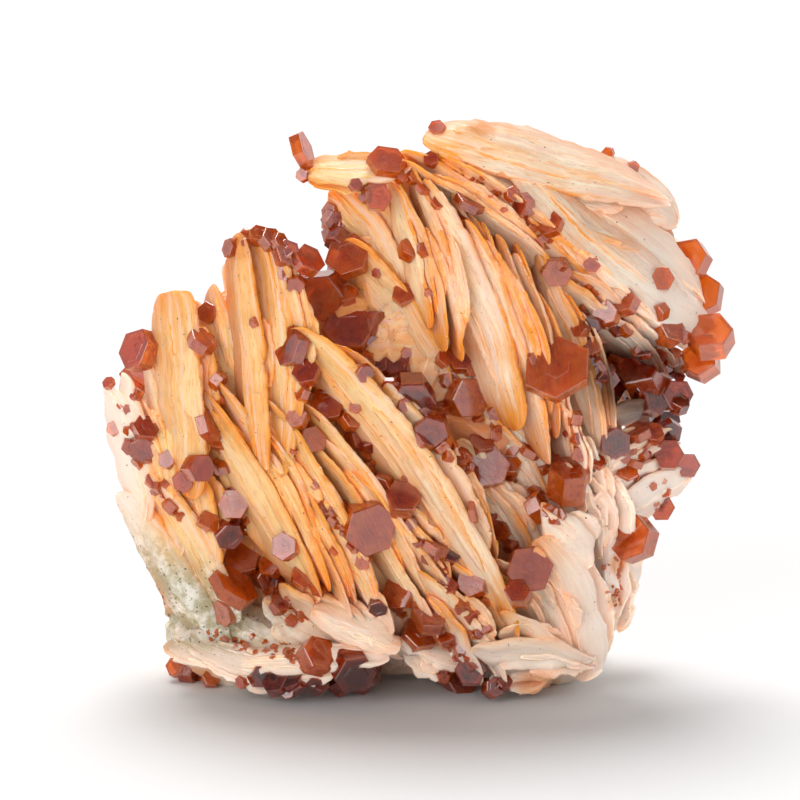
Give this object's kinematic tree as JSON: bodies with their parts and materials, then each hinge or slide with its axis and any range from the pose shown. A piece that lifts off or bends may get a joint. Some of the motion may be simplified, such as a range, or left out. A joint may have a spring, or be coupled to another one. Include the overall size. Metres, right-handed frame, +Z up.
{
  "type": "vanadinite on barite matrix",
  "caption": "Free-standing mineral specimen: hexagonal vanadinite tablets scattered between fanned, sharp-edged barite blades that rise from one rough root.",
  "frame": {"origin": "on the ground under the middle of the specimen's box", "axes": "+Z up; -Y out of the display side, where the blades and most of the crystals face; +X to the right seen from there"},
  "size_m": [0.0701, 0.0377, 0.0643],
  "materials": {
    "barite": "pearly to glassy cream barite with honey-orange stain, faintly translucent at the rims",
    "vanadinite": "smooth adamantine red-brown to orange-red crystal faces"
  },
  "bodies": {
    "root": {"barite_matrix": "barite", "vanadinite_back_1": "vanadinite", "vanadinite_back_2": "vanadinite", "vanadinite_back_3": "vanadinite", "vanadinite_back_4": "vanadinite", "vanadinite_back_5": "vanadinite", "vanadinite_crest_1": "vanadinite", "vanadinite_crest_2": "vanadinite", "vanadinite_crest_3": "vanadinite", "vanadinite_dark_pocket_1": "vanadinite", "vanadinite_dark_pocket_2": "vanadinite", "vanadinite_dark_pocket_3": "vanadinite", "vanadinite_dark_pocket_4": "vanadinite", "vanadinite_dark_pocket_5": "vanadinite", "vanadinite_dark_pocket_6": "vanadinite", "vanadinite_dark_pocket_7": "vanadinite", "vanadinite_foot_1": "vanadinite", "vanadinite_foot_10": "vanadinite", "vanadinite_foot_11": "vanadinite", "vanadinite_foot_12": "vanadinite", "vanadinite_foot_2": "vanadinite", "vanadinite_foot_3": "vanadinite", "vanadinite_foot_4": "vanadinite", "vanadinite_foot_5": "vanadinite", "vanadinite_foot_6": "vanadinite", "vanadinite_foot_7": "vanadinite", "vanadinite_foot_8": "vanadinite", "vanadinite_foot_9": "vanadinite", "vanadinite_left_edge_1": "vanadinite", "vanadinite_left_edge_2": "vanadinite", "vanadinite_left_edge_3": "vanadinite", "vanadinite_left_edge_4": "vanadinite", "vanadinite_left_edge_5": "vanadinite", "vanadinite_left_edge_6": "vanadinite", "vanadinite_left_edge_7": "vanadinite", "vanadinite_left_edge_8": "vanadinite", "vanadinite_long_groove_1": "vanadinite", "vanadinite_long_groove_2": "vanadinite", "vanadinite_middle_1": "vanadinite", "vanadinite_middle_2": "vanadinite", "vanadinite_middle_3": "vanadinite", "vanadinite_middle_4": "vanadinite", "vanadinite_right_rim_1": "vanadinite", "vanadinite_right_rim_2": "vanadinite", "vanadinite_right_rim_3": "vanadinite", "vanadinite_right_rim_4": "vanadinite", "vanadinite_spur_1": "vanadinite", "vanadinite_spur_2": "vanadinite", "vanadinite_spur_3": "vanadinite", "vanadinite_spur_4": "vanadinite"}
  },
  "joints": []
}
